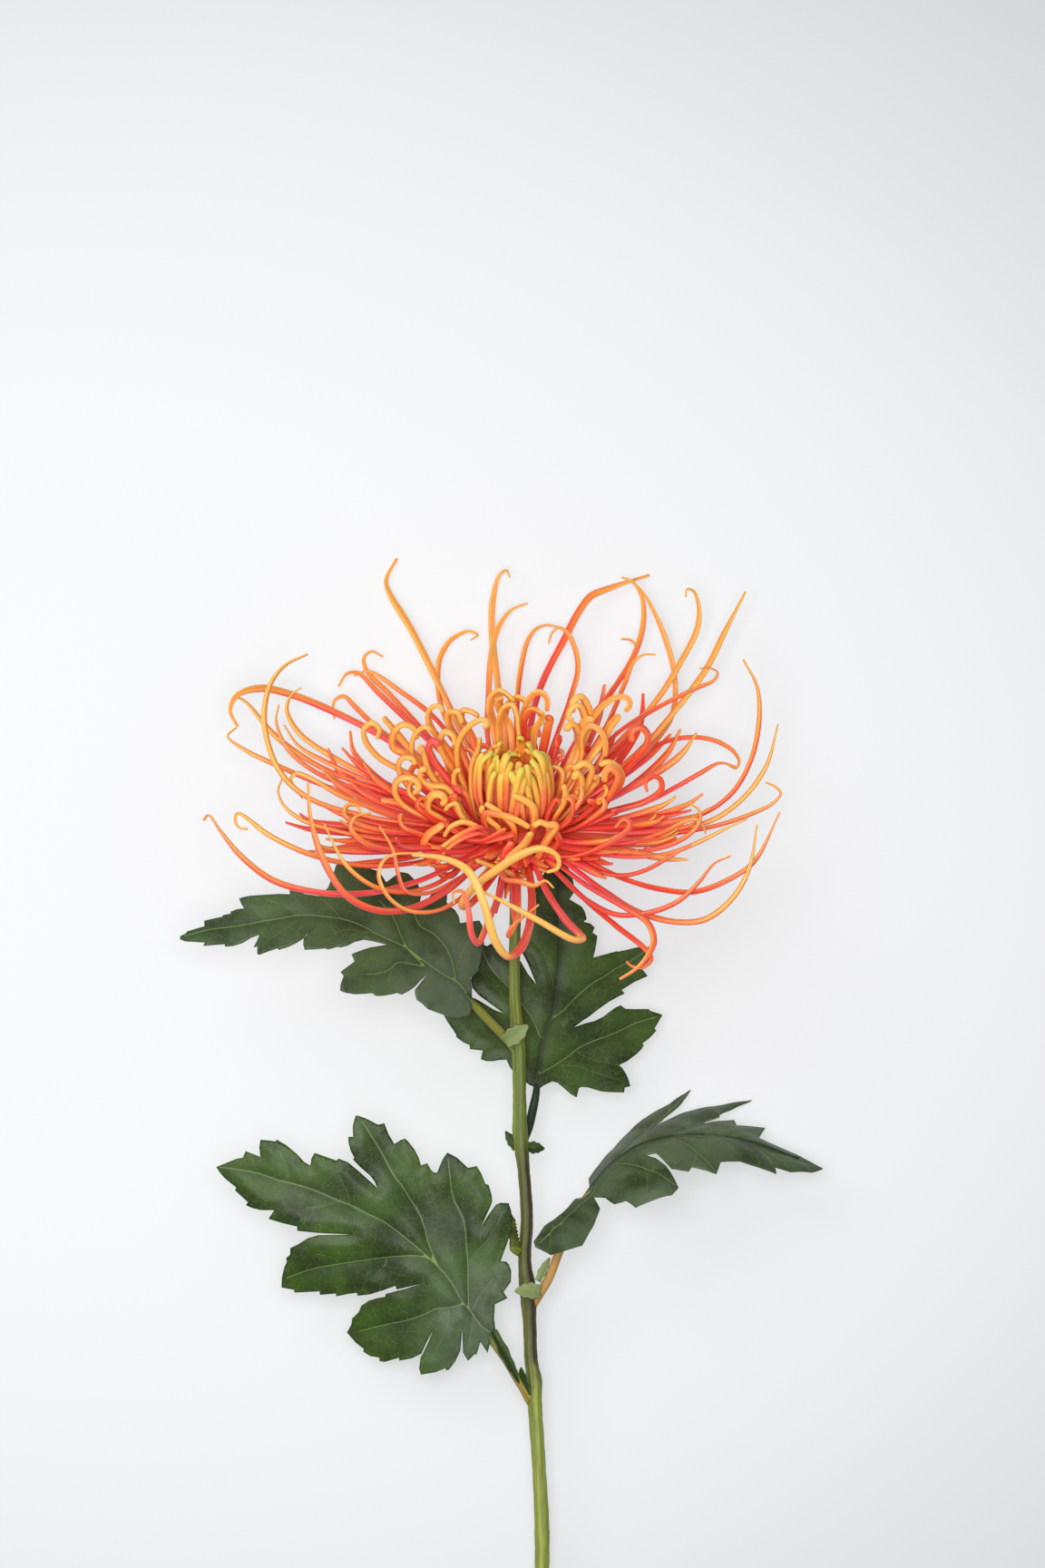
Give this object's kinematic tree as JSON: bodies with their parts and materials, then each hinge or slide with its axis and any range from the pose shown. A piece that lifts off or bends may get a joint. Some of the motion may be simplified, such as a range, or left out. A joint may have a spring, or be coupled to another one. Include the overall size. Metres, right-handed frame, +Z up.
{
  "type": "spider chrysanthemum flower",
  "caption": "Cut spider chrysanthemum with long hooked red-orange florets, a yellow-green eye and lobed dark green leaves on a slender stem, lying down.",
  "frame": {"origin": "on the surface that the flower lies on, under the middle of its bounding box", "axes": "+Y along the stem from its cut end to the bloom, +Z up from the surface, +X to the right seen from above with the bloom away"},
  "size_m": [0.1778, 0.3486, 0.1093],
  "materials": {
    "floret": "smooth, waxy red-orange petal",
    "eye": "smooth yellow-green petal",
    "leaf": "dark green leaf with a soft sheen",
    "stem": "olive-green ridged stem"
  },
  "bodies": {
    "root": {"stem": "stem", "calyx": "stem", "bloom": "floret", "eye": "eye", "leaf_upper_left": "leaf", "leaf_upper_right": "leaf", "leaf_lower_left": "leaf", "leaf_lower_right": "leaf"}
  },
  "joints": []
}
